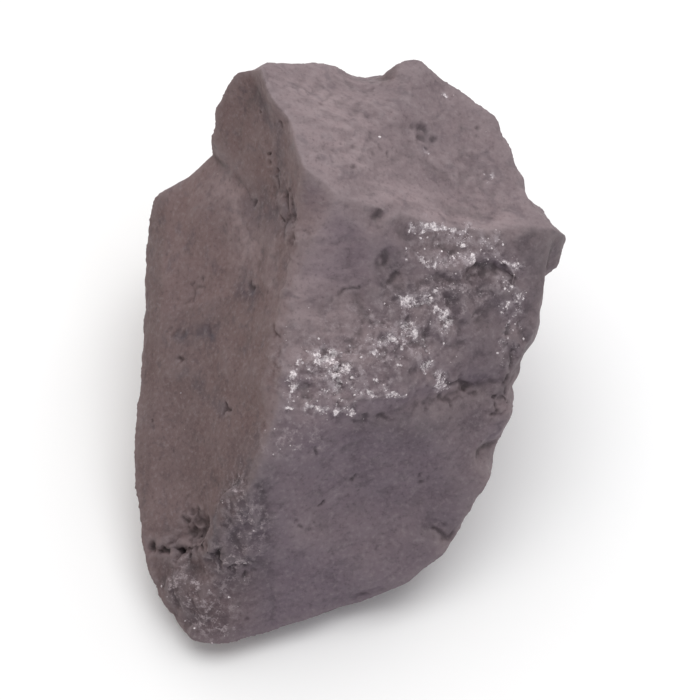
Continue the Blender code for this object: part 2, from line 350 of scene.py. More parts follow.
SHADE = {
    "upright_hollow": ([(3.8, 9.6), (4.4, 7.4)], 1.8),
    "arch_hollow": ([(12.4, 6.6), (14.8, 6.2), (17.4, 6.4)], 2.0, 1.2),
    "column_top": ([(-4.9, 12.0), (-4.9, 8.6)], 1.7, 0.5),
    "tip_face": ([(18.8, 11.2), (21.0, 9.4)], 2.2, 0.8),
    "left_square": ([(-11.6, 6.6), (-10.6, 5.6)], 1.9, 1.4),
    "left_smudge": ([(-18.4, 1.6), (-14.8, 2.2)], 1.8, 1.4),
    "left_spots": ([(-17.8, -2.6), (-13.6, -6.2)], 1.6, 0.9),
    "wall_foot": ([(-10.3, 15.4), (-6.6, 14.2)], 3.0),
    "wall_side": ([(-9.4, 27.0), (-7.6, 23.0), (-7.6, 18.0)], 1.6),
    "top_dimple": ([(8.0, 23.4)], 1.9),
    "under_ledge": ([(0.6, -7.8), (4.0, -7.4), (9.0, -6.2)], 1.8),
    "rim_foot": ([(17.2, 0.0), (16.6, -4.0)], 1.6),
    "low_dent": ([(8.8, -19.0), (10.4, -19.6)], 2.2),
    "foot_lumps": ([(-11.0, -13.0), (-12.0, -16.0), (-12.8, -24.0)], 5.0, 1.15),
    "foot_corner": ([(-18.5, -23.5), (-17.0, -28.0)], 6.0, 1.15),
    "left_face": ([(-17.5, 1.0), (-16.5, -12.0)], 9.0, 0.3),
    "right_rim": ([(19.6, 6.5), (19.4, 2.0), (18.4, -1.0)], 1.9),
    "right_dark": ([(17.0, 7.0), (15.0, 3.0), (14.5, -1.0)], 3.8, 0.4),
    "middle_dark": ([(3.4, 5.8), (9.5, 6.6), (16.0, 6.0)], 2.3, 1.1),
    "field_dark": ([(4.6, -2.6), (6.8, -2.2)], 1.8, 0.9),
    "foot_dark": ([(-14.4, -19.2), (-13.8, -23.6)], 2.6, 1.6),
    "ridge_low": ([(-9.8, -9.5), (-12.0, -15.0)], 1.8, 0.8),
    "front_top": ([(6.0, -8.2), (13.0, -7.2)], 3.4, 0.9),
    "low_right": ([(12.0, -13.0), (7.0, -22.0)], 3.4, 0.4),
    "bluish": ([(0.0, 6.4), (1.8, 5.4)], 2.4, 0.3),
}
# Painted warm reflected light and shade on the foot corner, added to the faces turned left.
PAINTED_WARM_SHADE = {"foot_corner": ([(-18.5, -22.0), (-16.0, -28.0)], 7.0)}
RIPPLES = {"struck_plate": ([(-2.5, 27.0), (1.0, 23.0)], 8.0)}
# Zones drawn lighter; on the struck plate the lighter colour partly stands for a painted sheen.
PALE = {
    "struck_plate": ([(-3.5, 27.0), (1.0, 21.0)], 8.0),
    "crest_band": ([(1.5, 17.5), (8.0, 15.0), (16.0, 13.8)], 3.5),
    "column": ([(-3.5, 12.0), (-3.4, 4.0), (-2.0, -1.0)], 6.0),
    "crust_patch": ([(-4.6, -3.0), (-1.0, -4.0), (0.0, -6.5)], 3.2),
    "ledge": ([(-6.0, -6.6), (0.0, -6.8), (6.0, -5.4), (10.0, -4.6)], 1.8),
    "left_high": ([(-13.5, 18.0), (-10.8, 11.0)], 5.0),
    "left_of_column": ([(-8.4, 12.2), (-8.2, 7.4)], 1.8),
}
BORDER_WANDER = 0.4
BORDER_NOISE_WIDTH = 1.3
CROOKED_WIDTH = 0.9
CROOKED_REACH = 0.9
CROOKED_SEED = 4


def border_noise(points, width):
    """A ragged value near zero at each point, the same on every run."""
    return np.array([noise.noise(Vector(point) / width) for point in points])


def in_zone(points, zone, wander=0.0):
    """How much of a zone is at each point: 0 outside it, and its strength on its paths."""
    strongest = np.zeros(len(points))
    for path, reach, *most in zone.values():
        strength = closeness(points, path, reach, wander) * (most[0] if most else 1.0)
        strongest = np.maximum(strongest, strength)
    return strongest


def store(mesh, name, values):
    """Write one value for each point of the mesh."""
    attribute = mesh.attributes.get(name) or mesh.attributes.new(name, "FLOAT", "POINT")
    attribute.data.foreach_set("value", settle(values))


def pushed_about(points, width, reach):
    """The points moved by seeded noise, so that what is drawn on them comes out crooked."""
    noise.seed_set(CROOKED_SEED)
    pushes = np.array([noise.noise_vector(Vector(point) / width) for point in points])
    return points + reach * pushes


ragged = BORDER_WANDER * border_noise(points, BORDER_NOISE_WIDTH)
crooked = pushed_about(points, CROOKED_WIDTH, CROOKED_REACH)
clumps = 0.5 + FIELD_CLUMP_CONTRAST * border_noise(points, FIELD_CLUMP_WIDTH)
in_field = np.minimum(1.0, FIELD_FILL * in_zone(crooked, CRUST_FIELD))
crust_field = FIELD_SHARE * in_field * np.clip(clumps, 0.0, 1.0)
store(stone.data, "crust", np.maximum(crust_field, in_zone(crooked, CRUST, ragged)))
store(stone.data, "pale", in_zone(points, PALE))
store(stone.data, "dust", in_zone(points, DUST, ragged))
store(stone.data, "shade", in_zone(crooked, SHADE, ragged))
store(stone.data, "ripple", in_zone(points, RIPPLES))
crumble = in_zone(points, CRUMBLE, ragged)

# %% [markdown]
# The far side of the stone has its own rough patches. No one has placed them by sight, so
# wide noise does, on the faces that turn away from the front view.

# %% Rough patches on the far side
FAR_PATCH_WIDTH = 9.0
FAR_PATCH_START = 0.05
FAR_PATCH_RISE = 3.0
FAR_FACING_ROUNDS = 12
FAR_FACING_GAIN = 2.0
CLEARLY_ROUGH = 0.3


def read_normals(mesh):
    """The direction of the surface at each point."""
    flat = np.empty(len(mesh.vertices) * 3)
    mesh.vertices.foreach_get("normal", flat)
    return flat.reshape(-1, 3)


wide_normals = soften(read_normals(stone.data), ends, FAR_FACING_ROUNDS)
turned_away = np.clip(0.5 - FAR_FACING_GAIN * wide_normals @ np.array(EYE_BACK), 0.0, 1.0)
far_patches = border_noise(points, FAR_PATCH_WIDTH) - FAR_PATCH_START
crumble = np.maximum(crumble, np.clip(far_patches * FAR_PATCH_RISE, 0.0, 1.0) * turned_away)
store(stone.data, "crumble", crumble)
print("share that crumbles:", round(float((crumble > CLEARLY_ROUGH).mean()), 2))

# %% [markdown]
# ## Node trees
#
# The finishes and most of the fine geometry are node trees, built here by the script. The
# helpers below keep them short. Every size in a tree is a named input in millimetres.

# %% Helpers for node trees


def feed(tree, socket, value):
    """Give a socket either a link or a plain value."""
    if isinstance(value, bpy.types.NodeSocket):
        tree.links.new(value, socket)
    else:
        socket.default_value = value


def add_node(tree, kind, settings=None, **inputs):
    """Add a node, set its options, and feed its inputs by name."""
    made = tree.nodes.new(kind)
    for name, value in (settings or {}).items():
        setattr(made, name, value)
    for name, value in inputs.items():
        feed(tree, made.inputs[name.replace("_", " ")], value)
    return made


def calculate(tree, operation, *values):
    """The result of a Math node on one to three values."""
    made = tree.nodes.new("ShaderNodeMath")
    made.operation = operation
    for socket, value in zip(made.inputs, values):
        feed(tree, socket, value)
    return made.outputs[0]


def multiply(tree, *values):
    """The product of several values."""
    product = values[0]
    for value in values[1:]:
        product = calculate(tree, "MULTIPLY", product, value)
    return product


def vector_math(tree, operation, first, second):
    """The result of a Vector Math node on two vectors, or on a vector and a scale."""
    made = tree.nodes.new("ShaderNodeVectorMath")
    made.operation = operation
    feed(tree, made.inputs[0], first)
    feed(tree, made.inputs["Scale" if operation == "SCALE" else 1], second)
    return made.outputs["Value" if operation in ("DOT_PRODUCT", "DISTANCE") else "Vector"]


def fade(tree, value, start, end, low=0.0, high=1.0):
    """Map a value smoothly from one range to another."""
    made = tree.nodes.new("ShaderNodeMapRange")
    made.interpolation_type = "SMOOTHSTEP"
    for name, setting in (("Value", value), ("From Min", start), ("From Max", end),
                          ("To Min", low), ("To Max", high)):
        feed(tree, made.inputs[name], setting)
    return made.outputs["Result"]


def noise_node(tree, position, width, detail=3.0, roughness=0.5, distortion=0.0):
    """A noise texture whose lumps are about a width across."""
    return add_node(tree, "ShaderNodeTexNoise", Vector=position, Detail=detail,
                    Scale=calculate(tree, "DIVIDE", 1.0, width),
                    Roughness=roughness, Distortion=distortion)


def noise_value(tree, position, width, detail=3.0, roughness=0.5, distortion=0.0):
    """Noise from 0 to 1."""
    return noise_node(tree, position, width, detail, roughness, distortion).outputs["Fac"]


def swing(tree, value, height):
    """Turn a value from 0 to 1 into one from minus the height to plus the height."""
    return calculate(tree, "MULTIPLY", calculate(tree, "MULTIPLY_ADD", value, 2.0, -1.0), height)


def new_tree(name, sizes):
    """A geometry tree with a geometry input and output and named sizes."""
    tree = bpy.data.node_groups.new(name, "GeometryNodeTree")
    tree.interface.new_socket("Geometry", in_out="INPUT", socket_type="NodeSocketGeometry")
    for label, size in sizes.items():
        socket = tree.interface.new_socket(label, in_out="INPUT", socket_type="NodeSocketFloat")
        socket.default_value = size
    tree.interface.new_socket("Geometry", in_out="OUTPUT", socket_type="NodeSocketGeometry")
    return tree, tree.nodes.new("NodeGroupInput").outputs, tree.nodes.new("NodeGroupOutput")


def position_mm(tree):
    """Where each point is, in millimetres."""
    place = tree.nodes.new("GeometryNodeInputPosition").outputs[0]
    return vector_math(tree, "SCALE", place, 1.0 / MM)


def raise_points(tree, geometry, height):
    """Move the points along their normals by a height in millimetres."""
    normal = tree.nodes.new("GeometryNodeInputNormal").outputs[0]
    step = vector_math(tree, "SCALE", normal, multiply(tree, height, MM))
    return add_node(tree, "GeometryNodeSetPosition", Geometry=geometry, Offset=step).outputs[0]


def stored(tree, name):
    """A value that was stored on the points."""
    return add_node(tree, "GeometryNodeInputNamedAttribute", {"data_type": "FLOAT"},
                    Name=name).outputs["Attribute"]


def finish_tree(tree, result, geometry, material):
    """End a geometry tree: make its instances real and give it its material."""
    whole = add_node(tree, "GeometryNodeRealizeInstances", Geometry=geometry)
    painted = add_node(tree, "GeometryNodeSetMaterial", Geometry=whole.outputs[0],
                       Material=material)
    feed(tree, result.inputs[0], painted.outputs[0])
    return tree


def run_tree(made, tree, sizes):
    """Apply a geometry tree to an object with these sizes, and keep the mesh it makes."""
    modifier = made.modifiers.new(tree.name, "NODES")
    modifier.node_group = tree
    for socket in tree.interface.items_tree:
        if socket.in_out == "INPUT" and socket.name in sizes:
            modifier[socket.identifier] = sizes[socket.name]
    return keep_result(made)


print("helpers ready")


# %% [markdown]
# ## The finish of the rock
#
# Fresh shungite is nearly black, but its broken faces are full of tiny facets that throw
# light back, so it looks a matt dark grey with a breath of brown or violet. The finish
# mixes greys in clouds and streaks, paints warm shade on the faces turned left and cool
# violet shade on the low front, like light thrown back, and gives each named face its
# painted light or shade. It adds fine grain and a painted highlight on edges that is partly
# wear, lays on pale dust and crust, and paints shade into hollows, pits and the shade zones.
# All patterns are solid, in millimetres on Object coordinates, so they run through the stone
# and never stretch. A pattern is noise: its width in millimetres, detail, roughness and
# distortion, and the two noise values between which it grows from nothing to full. A share
# says how much of a colour is laid on. The grain is a group, as the crystals use it too.

# %% Make the rock finish
ROCK_DARK = (0.162, 0.12, 0.13, 1.0)
ROCK_PALE = (0.218, 0.166, 0.175, 1.0)
WARM_BOUNCE_SHADE = (0.145, 0.088, 0.083, 1.0)
COOL_BOUNCE_SHADE = (0.126, 0.094, 0.126, 1.0)
ROCK_PLATE = (0.295, 0.226, 0.234, 1.0)
ROCK_STREAK = (0.19, 0.143, 0.15, 1.0)
CLOUD_SQUEEZE = (0.6, 0.8, 1.2)
STREAK_SQUEEZE = (0.16, 1.0, 1.0)
GRAIN_AND_SHADE_BLACK = (0.028, 0.02, 0.022, 1.0)
SMUDGE_AND_SHADE_DARK = (0.075, 0.056, 0.068, 1.0)
EDGE_GREY = (0.3, 0.252, 0.26, 1.0)
DUST_GREY = (0.34, 0.285, 0.3, 1.0)
CRUST_GREY = (0.36, 0.31, 0.33, 1.0)
CRUST_WHITE = (0.82, 0.75, 0.76, 1.0)
PATTERNS = {
    "clouds": (2.4, 6.0, 0.62, 0.6, 0.25, 0.75),
    "smudges": (1.3, 3.0, 0.6, 0.4, 0.5, 0.3),
    "streaks": (1.4, 2.0, 0.5, 0.3, 0.38, 0.6),
    "blotches": (1.2, 4.0, 0.6, 0.0, 0.3, 0.6),
    "dust_specks": (0.7, 5.0, 0.8, 0.0, 0.5, 0.62),
    "film_patches": (0.7, 5.0, 0.75, 0.0, 0.42, 0.56),
    "film_gaps": (0.7, 5.0, 0.75, 0.0, 0.46, 0.34),
    "chalk": (0.35, 3.0, 0.7, 0.0, 0.38, 0.6),
    "sheen": (1.5, 3.0, 0.5, 0.0, 0.3, 0.7),
}
FLAKE_WIDTH = 0.75
FLAKE_DETAIL = 5.0
FLAKE_ROUGHNESS = 0.8
FLAKES_NEEDED = (0.1, 1.0, 0.62, 0.44)
FLAKE_EDGE = 0.06
FILM_FULL = 0.7
GAPS_FULL = 0.4
WHITE_FULL = 0.3
ROCK_GRAIN_WIDTH = 0.5
GRAIN_DETAIL = 5.0
GRAIN_ROUGHNESS = 0.7
LIGHT_GRAIN = (0.5, 0.72)
DARK_GRAIN = (0.48, 0.3)
SMUDGE_SHARE = 0.4
BLOTCH_LEAST = 0.5
PALE_SHARE = 0.7
COOL_BOUNCE_SHARE = 0.7
WARM_BOUNCE_SHARE = 0.75
WARM_BOUNCE_LOST_TO_PALE = 0.6
SHADE_SHARE = 0.7
GRAIN_SHARE = 0.35
EDGE_SHARE = 0.2
DUST_SHARE = 0.8
FILM_SHARE = 0.7
FILM_GAP_SHARE = 0.6
HOLLOW_SHARE = 0.6
PITTED_RANGE = (0.1, 0.9)
PITTED_SHARE = 0.9
ROUGHNESS_RANGE = (0.6, 0.85)
SHINE = 0.4
BUMP_STRENGTH = 0.6
BUMP_HEIGHT = 0.1


def attribute_value(tree, name):
    """A stored point value inside a material."""
    return add_node(tree, "ShaderNodeAttribute", {"attribute_name": name}).outputs["Fac"]


def mix(tree, share, first, second):
    """Blend two colours."""
    made = tree.nodes.new("ShaderNodeMix")
    made.data_type = "RGBA"
    feed(tree, made.inputs[0], share)
    feed(tree, made.inputs[6], first)
    feed(tree, made.inputs[7], second)
    return made.outputs[2]


def object_mm(tree):
    """Object coordinates in millimetres."""
    place = tree.nodes.new("ShaderNodeTexCoord").outputs["Object"]
    return vector_math(tree, "SCALE", place, 1.0 / MM)


def start_material(name):
    """A material, its node tree and its shader."""
    material = bpy.data.materials.new(name)
    material.use_nodes = True
    return material, material.node_tree, material.node_tree.nodes["Principled BSDF"]


def grain_group():
    """Fine grain from 0 to 1, a shader group that both finishes use."""
    group = bpy.data.node_groups.new("fine_grain", "ShaderNodeTree")
    width = group.interface.new_socket("Width", in_out="INPUT", socket_type="NodeSocketFloat")
    width.default_value = ROCK_GRAIN_WIDTH
    group.interface.new_socket("Grain", in_out="OUTPUT", socket_type="NodeSocketFloat")
    given = group.nodes.new("NodeGroupInput").outputs
    result = group.nodes.new("NodeGroupOutput")
    grain = noise_value(group, object_mm(group), given["Width"], GRAIN_DETAIL, GRAIN_ROUGHNESS)
    feed(group, result.inputs[0], grain)
    return group


def fine_grain(tree, group, width):
    """The fine grain group in a material, at a width in millimetres."""
    return add_node(tree, "ShaderNodeGroup", {"node_tree": group}, Width=width).outputs[0]


def pattern(tree, position, name, low=0.0, high=1.0):
    """A named noise pattern, low where it is absent and high where it is full."""
    width, detail, roughness, distortion, start, full = PATTERNS[name]
    noise_level = noise_value(tree, position, width, detail, roughness, distortion)
    return fade(tree, noise_level, start, full, low, high)


def rock_colour(tree, position):
    """Clouded grey rock with painted shade: warm on the faces turned left, cool violet on the low
    front, dark in the shade zones, and lighter or darker on each named face by its tone.
    """
    squeezed = vector_math(tree, "MULTIPLY", position, CLOUD_SQUEEZE)
    colour = mix(tree, pattern(tree, squeezed, "clouds"), ROCK_DARK, ROCK_PALE)
    smudges = pattern(tree, squeezed, "smudges", high=SMUDGE_SHARE)
    drawn_out = vector_math(tree, "MULTIPLY", position, STREAK_SQUEEZE)
    plate = mix(tree, pattern(tree, drawn_out, "streaks"), ROCK_STREAK, ROCK_PLATE)
    pale = attribute_value(tree, "pale")
    colour = mix(tree, multiply(tree, pale, PALE_SHARE), colour, plate)
    # Painted shade on the low front faces, cool and violet like light thrown back from in front.
    cool_bounce = multiply(tree, attribute_value(tree, "frontward"), COOL_BOUNCE_SHARE)
    unpaled = calculate(tree, "MULTIPLY_ADD", pale, -WARM_BOUNCE_LOST_TO_PALE, 1.0)
    # Painted shade on the faces turned left, warm like light thrown back from beside, weaker where
    # the stone is drawn lighter.
    warm_bounce = multiply(tree, attribute_value(tree, "leftward"), unpaled, WARM_BOUNCE_SHARE)
    colour = mix(tree, warm_bounce, mix(tree, cool_bounce, colour, COOL_BOUNCE_SHADE), WARM_BOUNCE_SHADE)
    blotches = pattern(tree, position, "blotches", low=BLOTCH_LEAST)
    shade = multiply(tree, attribute_value(tree, "shade"), blotches, SHADE_SHARE)
    # Painted shade in the shade zones, and random dark smudges.
    colour = mix(tree, calculate(tree, "MAXIMUM", shade, smudges), colour, SMUDGE_AND_SHADE_DARK)
    # Painted light and shade: each named face is made lighter or darker by its tone.
    return vector_math(tree, "SCALE", colour, attribute_value(tree, "tone"))


def crust_cover(tree, position, colour):
    """A broken pale film over the colour, and white flakes that need less noise to show
    where the crust value is high."""
    crust = attribute_value(tree, "crust")
    film = multiply(tree, fade(tree, crust, 0.0, FILM_FULL),
                    pattern(tree, position, "film_patches"), FILM_SHARE)
    dark = multiply(tree, fade(tree, crust, 0.0, GAPS_FULL),
                    pattern(tree, position, "film_gaps"), FILM_GAP_SHARE)
    flakes = noise_value(tree, position, FLAKE_WIDTH, FLAKE_DETAIL, FLAKE_ROUGHNESS)
    beyond = calculate(tree, "SUBTRACT", flakes, fade(tree, crust, *FLAKES_NEEDED))
    white = multiply(tree, fade(tree, crust, 0.0, WHITE_FULL),
                     fade(tree, beyond, 0.0, FLAKE_EDGE))
    chalk = mix(tree, pattern(tree, position, "chalk"), CRUST_GREY, CRUST_WHITE)
    colour = mix(tree, film, mix(tree, dark, colour, SMUDGE_AND_SHADE_DARK), CRUST_GREY)
    return mix(tree, white, colour, chalk)


def rock_material(grain_nodes):
    """Matt carbon rock."""
    material, tree, shader = start_material("broken_shungite")
    position = object_mm(tree)
    colour = rock_colour(tree, position)
    grain = fine_grain(tree, grain_nodes, ROCK_GRAIN_WIDTH)
    colour = mix(tree, fade(tree, grain, *LIGHT_GRAIN, 0.0, GRAIN_SHARE), colour, EDGE_GREY)
    colour = mix(tree, fade(tree, grain, *DARK_GRAIN, 0.0, GRAIN_SHARE), colour, GRAIN_AND_SHADE_BLACK)
    # Painted highlight along edges, partly edges rubbed paler.
    edges = multiply(tree, attribute_value(tree, "edge"), EDGE_SHARE)
    colour = mix(tree, edges, colour, EDGE_GREY)
    specks = pattern(tree, position, "dust_specks")
    dusty = multiply(tree, attribute_value(tree, "dust"), specks, DUST_SHARE)
    colour = mix(tree, dusty, colour, DUST_GREY)
    colour = crust_cover(tree, position, colour)
    # Painted shade in hollows and pits, darker the deeper they lie.
    hollow = multiply(tree, attribute_value(tree, "hollow"), HOLLOW_SHARE)
    pitted = fade(tree, attribute_value(tree, "pitted"), *PITTED_RANGE, 0.0, PITTED_SHARE)
    colour = mix(tree, calculate(tree, "MAXIMUM", hollow, pitted), colour, GRAIN_AND_SHADE_BLACK)
    feed(tree, shader.inputs["Base Color"], colour)
    feed(tree, shader.inputs["Roughness"], pattern(tree, position, "sheen", *ROUGHNESS_RANGE))
    shader.inputs["Specular IOR Level"].default_value = SHINE
    bump = add_node(tree, "ShaderNodeBump", Strength=BUMP_STRENGTH,
                    Distance=BUMP_HEIGHT * MM, Height=grain)
    feed(tree, shader.inputs["Normal"], bump.outputs[0])
    return material


grain_nodes = grain_group()
rock = rock_material(grain_nodes)
print("finish:", rock.name)

# %% [markdown]
# ## Rough rock
#
# The lumps of the rough zones come before the faces are made flat, so that they end up
# angular, as broken rock is, and not round like dough. They follow a rule, so Geometry
# Nodes make them: noise says how far each point stands out, and Set Position moves it
# along its normal. The helpers keep this tree and the later ones readable, and all sizes
# are named inputs in millimetres.

# %% Raise the rough rock
LUMP_SIZES = {
    "Face Width": 4.5, "Face Height": 0.25,
    "Lump Width": 1.7, "Lump Height": 0.8, "Chip Width": 0.8, "Chip Height": 0.45,
}


def lump_tree(material):
    """Wide swells all over, and lumps and chips in the rough zones."""
    tree, sizes, result = new_tree("rough_rock", LUMP_SIZES)
    position = position_mm(tree)
    swells = noise_value(tree, position, sizes["Face Width"], detail=1.0)
    lumps = noise_value(tree, position, sizes["Lump Width"], detail=1.0)
    chips = noise_value(tree, position, sizes["Chip Width"], detail=1.0)
    rough = calculate(tree, "ADD", swing(tree, lumps, sizes["Lump Height"]),
                      swing(tree, chips, sizes["Chip Height"]))
    height = calculate(tree, "ADD", swing(tree, swells, sizes["Face Height"]),
                       multiply(tree, rough, stored(tree, "crumble")))
    return finish_tree(tree, result, raise_points(tree, sizes["Geometry"], height), material)


write_points(stone.data, points)
run_tree(stone, lump_tree(rock), LUMP_SIZES)
points = read_points(stone.data)
print("rough rock raised on", int((crumble > 0).sum()), "points")

# %% [markdown]
# ## Flat faces, crisp ridges
#
# Plain smoothing would hide the old triangles, but it would also round the ridges, and a
# freshly broken stone has sharp ones. So the triangles' directions are worked on instead of
# the points. First each triangle turns towards the neighbours that already look nearly the
# same way. Then the flattest places win: a triangle on a rounded ridge takes the direction
# of the calmest patch beside it, so two flat faces grow until they meet in a crisp line.
# The large fracture faces are named as well, each with how flat it is, its painted light or
# shade, and its outline in the front view. Last, the points move to fit the new directions.

# %% Smooth within each fracture face
FACE_ROUNDS = 10
CRISP_ROUNDS = 5
BLEND_ROUNDS = 4
POINT_ROUNDS = 80
LONGEST_MOVE = 0.7
FACE_LIGHT_ROUNDS = 2
NEEDLE_ROUNDS = 6
NEEDLE_HEIGHT = 0.09
PATCH_ROUNDS = 5
SOFT_BEND = 0.04
FIRM_BEND = 0.006
LIKENESS = 0.8
OUTLINE_WANDER = 0.35
TINY_AREA = 1e-9

FACES = {
    "plate": (0.75, 1.02, [
        (-10.6, 30.6), (-9.6, 28.6), (-8.6, 26.5), (-7.0, 24.3), (-6.1, 22.0), (-5.3, 19.0),
        (-5.0, 17.9), (-2.8, 17.2), (-2.0, 16.0), (2.5, 19.8), (2.4, 32.0)]),
    "peak_side": (0.75, 1.0, [
        (2.4, 32.0), (7.0, 32.5), (12.0, 29.5), (18.5, 21.5), (18.6, 17.4), (8.0, 18.4),
        (5.0, 18.0), (2.5, 19.8)]),
    "crest_band": (0.75, 1.04, [
        (-2.0, 16.0), (0.0, 15.1), (2.5, 14.7), (4.2, 14.1), (7.3, 13.7), (12.5, 13.1),
        (17.0, 12.9), (23.4, 12.9), (18.6, 17.4), (8.0, 18.4), (5.0, 18.0), (2.5, 19.8)]),
    "under_crest": (0.75, 0.84, [
        (4.6, 14.0), (7.3, 13.7), (12.5, 13.1), (17.0, 12.9), (18.4, 9.6), (12.5, 10.5),
        (6.0, 10.8)]),
    "tip": (0.75, 0.76, [
        (17.0, 12.9), (23.4, 12.9), (23.4, 10.2), (21.6, 7.2), (19.2, 7.2), (18.4, 9.6)]),
    "crown_wall": (0.75, 0.99, [
        (-12.4, 30.6), (-10.6, 30.6), (-9.6, 28.6), (-8.6, 26.5), (-7.0, 24.3), (-6.1, 22.0),
        (-5.3, 19.0), (-5.0, 17.9), (-9.0, 16.5), (-14.4, 21.4)]),
    "left_high": (0.75, 1.07, [
        (-20.5, 18.0), (-14.4, 21.4), (-10.6, 16.6), (-9.6, 10.0), (-10.0, 6.5), (-22.5, 3.0),
        (-22.0, 13.0)]),
    "left_middle": (0.75, 0.93, [
        (-10.0, 6.5), (-8.2, 2.0), (-9.2, -4.5), (-23.5, -8.0), (-22.5, 3.0)]),
    "left_low": (0.75, 0.95, [
        (-9.2, -4.5), (-10.2, -12.5), (-14.5, -14.0), (-17.0, -17.0), (-23.5, -18.5),
        (-23.5, -8.0)]),
    "wall_foot": (0.0, 1.06, [(-9.0, 16.5), (-5.0, 17.9), (-2.0, 16.0), (-7.2, 13.0)]),
    "column": (0.75, 1.08, [
        (-7.2, 13.0), (-2.0, 15.4), (2.6, 12.6), (2.4, 7.6), (-3.0, 5.2), (-8.0, 4.6)]),
    "column_low": (0.75, 1.0, [
        (-8.0, 4.6), (-3.0, 5.2), (0.4, 3.4), (-1.4, 0.6), (-5.0, 0.4), (-8.2, -3.0)]),
    "crust_right": (0.0, 0.9, [
        (2.6, 10.8), (12.5, 10.5), (18.4, 9.6), (19.2, 7.2), (21.6, 7.2), (20.4, -1.0),
        (18.0, -6.0), (12.0, -4.6), (9.0, 0.0), (3.4, 3.4)]),
    "front_left": (0.75, 1.0, [
        (-9.4, -7.2), (-5.0, -7.0), (0.0, -7.8), (1.5, -8.0), (-2.5, -15.5), (-9.0, -13.4)]),
    "front_right": (0.75, 0.96, [
        (1.5, -8.0), (8.0, -6.2), (14.0, -5.0), (18.0, -6.0), (15.4, -10.0), (12.8, -17.6),
        (5.0, -14.8), (-2.5, -15.5)]),
    "front_foot": (0.75, 0.99, [
        (-9.0, -13.4), (-2.5, -15.5), (5.0, -14.8), (12.8, -17.6), (6.0, -26.0),
        (-8.0, -29.0), (-7.6, -20.0)]),
    "foot": (0.0, 0.91, [
        (-14.5, -14.0), (-9.0, -13.4), (-7.6, -20.0), (-8.0, -31.0), (-14.0, -32.0),
        (-19.5, -27.0), (-22.5, -19.0), (-17.0, -17.0)]),
    "left_rim": (0.0, 0.86, [
        (-19.6, 18.5), (-24.0, 13.0), (-24.0, -20.0), (-21.6, -20.0), (-21.4, -8.0),
        (-20.6, 3.0), (-19.8, 13.0)]),
}


def in_view(places):
    """How far right and up each place shows from the eye."""
    gaps = places - np.array(SIGHT_POINT + EYE_BACK * EYE_DISTANCE)
    shown = np.stack([gaps[:, 0], gaps @ np.array(EYE_UP)], axis=1)
    return shown * (EYE_DISTANCE / (gaps @ -np.array(EYE_BACK)))[:, None]


def inside_outline(shown, corners):
    """Which of the shown places lie inside an outline."""
    inside = np.zeros(len(shown), dtype=bool)
    for (right, up), (next_right, next_up) in zip(corners, corners[1:] + corners[:1]):
        if up != next_up:
            crossing = right + (shown[:, 1] - up) / (next_up - up) * (next_right - right)
            between = (shown[:, 1] > up) != (shown[:, 1] > next_up)
            inside ^= between & (shown[:, 0] < crossing)
    return inside


def face_directions(points, triangles):
    """Unit direction and area of each triangle."""
    first, second, third = (points[triangles[:, corner]] for corner in range(3))
    cross = np.cross(second - first, third - first)
    doubled_area = np.maximum(np.linalg.norm(cross, axis=1), TINY_AREA)
    return cross / doubled_area[:, None], doubled_area / 2


def face_neighbours(triangles):
    """The three triangles that share an edge with each triangle."""
    starts = triangles[:, [0, 1, 2]].ravel()
    finishes = triangles[:, [1, 2, 0]].ravel()
    names = np.minimum(starts, finishes) * (triangles.max() + 1) + np.maximum(starts, finishes)
    order = np.argsort(names, kind="stable")
    partner = np.empty(len(order), dtype=np.int64)
    partner[order[0::2]] = order[1::2]
    partner[order[1::2]] = order[0::2]
    return (partner // 3).reshape(-1, 3)


def turn_faces_together(directions, areas, neighbours, bend):
    """One round of turning each face towards those that look nearly its way."""
    others = directions[neighbours]
    unlikeness = 1.0 - np.einsum("ijk,ik->ij", others, directions)
    weights = np.exp(-unlikeness / bend) * areas[neighbours]
    turned = directions * areas[:, None] + np.einsum("ij,ijk->ik", weights, others)
    return settle(turned / np.linalg.norm(turned, axis=1)[:, None])


def follow_the_flattest(directions, areas, neighbours):
    """Give each face the direction of the calmest patch within a few steps of it."""
    patch = directions * areas[:, None]
    for _ in range(PATCH_ROUNDS):
        patch = (patch + patch[neighbours].sum(axis=1)) / 4.0
    share = areas.copy()
    for _ in range(PATCH_ROUNDS):
        share = (share + share[neighbours].sum(axis=1)) / 4.0
    length = np.linalg.norm(patch, axis=1)
    unrest = settle(1.0 - length / share)
    best = settle(patch / length[:, None])
    for _ in range(CRISP_ROUNDS):
        for side in range(3):
            other = neighbours[:, side]
            calmer = unrest[other] < unrest
            best = np.where(calmer[:, None], best[other], best)
            unrest = np.where(calmer, unrest[other], unrest)
    return best


def fit_points(points, triangles, directions):
    """One round of moving the points onto the planes that their faces ask for."""
    centres = points[triangles].mean(axis=1)
    moves = np.zeros_like(points)
    uses = np.bincount(triangles.ravel(), minlength=len(points))
    for corner in range(3):
        numbers = triangles[:, corner]
        gaps = np.einsum("ij,ij->i", directions, centres - points[numbers])
        for axis in range(3):
            moves[:, axis] += np.bincount(numbers, directions[:, axis] * gaps, len(points))
    return settle(points + moves / uses[:, None])


neighbours = face_neighbours(triangles)
directions, areas = face_directions(points, triangles)
for _ in range(FACE_ROUNDS):
    directions = turn_faces_together(directions, areas, neighbours, SOFT_BEND)
directions = follow_the_flattest(directions, areas, neighbours)
centres = points[triangles].mean(axis=1)
shown = settle(in_view(pushed_about(centres, CROOKED_WIDTH, OUTLINE_WANDER)))
towards_eye = settle(directions @ np.array(EYE_BACK)) > 0.0
